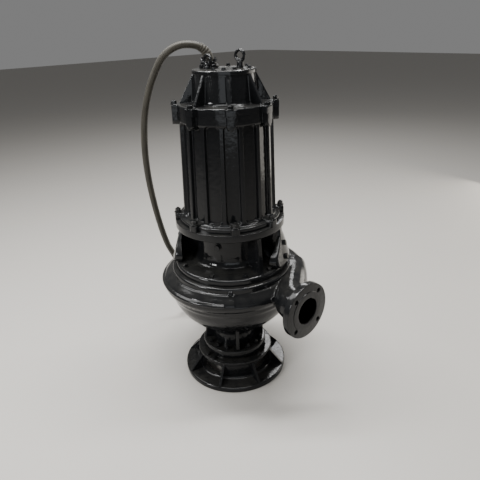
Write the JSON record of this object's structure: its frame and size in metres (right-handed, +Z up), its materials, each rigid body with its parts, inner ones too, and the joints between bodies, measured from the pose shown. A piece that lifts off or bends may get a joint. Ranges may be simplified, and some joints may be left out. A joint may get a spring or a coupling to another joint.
{
  "type": "submersible pump",
  "caption": "Free-standing submersible sewage pump: finned motor over a lantern, volute with flanged side discharge, suction neck and ring stand, power cable from the lid.",
  "frame": {"origin": "on the floor, under the middle of the pump's own box without its free cable", "axes": "+Z up along the shaft, +X out of the discharge flange, +Y to the left of it seen from the shaft"},
  "size_m": [0.9385, 0.7418, 1.3337],
  "materials": {
    "black_enamel": "gloss black enamel over cast iron, brushed and dipped on thick",
    "bare_iron": "as cast, dark",
    "cable_rubber": "matte grey-brown rubber sheath, slightly dusty"
  },
  "bodies": {
    "root": {"ring_stand": "black_enamel", "suction_ring": "black_enamel", "suction_neck": "black_enamel", "volute_casing": "black_enamel", "lantern": "black_enamel", "side_plate_left": "black_enamel", "side_plate_right": "black_enamel", "oil_plug": "black_enamel", "motor_frame": "black_enamel", "top_cover": "black_enamel", "lid": "black_enamel", "gland_flange": "black_enamel", "gland_follower": "black_enamel", "lifting_eye_left": "black_enamel", "lifting_eye_right": "black_enamel", "impeller": "bare_iron", "impeller_nut": "bare_iron", "cable_boot": "cable_rubber", "power_cable": "cable_rubber", "cable_coil": "cable_rubber"}
  },
  "joints": []
}
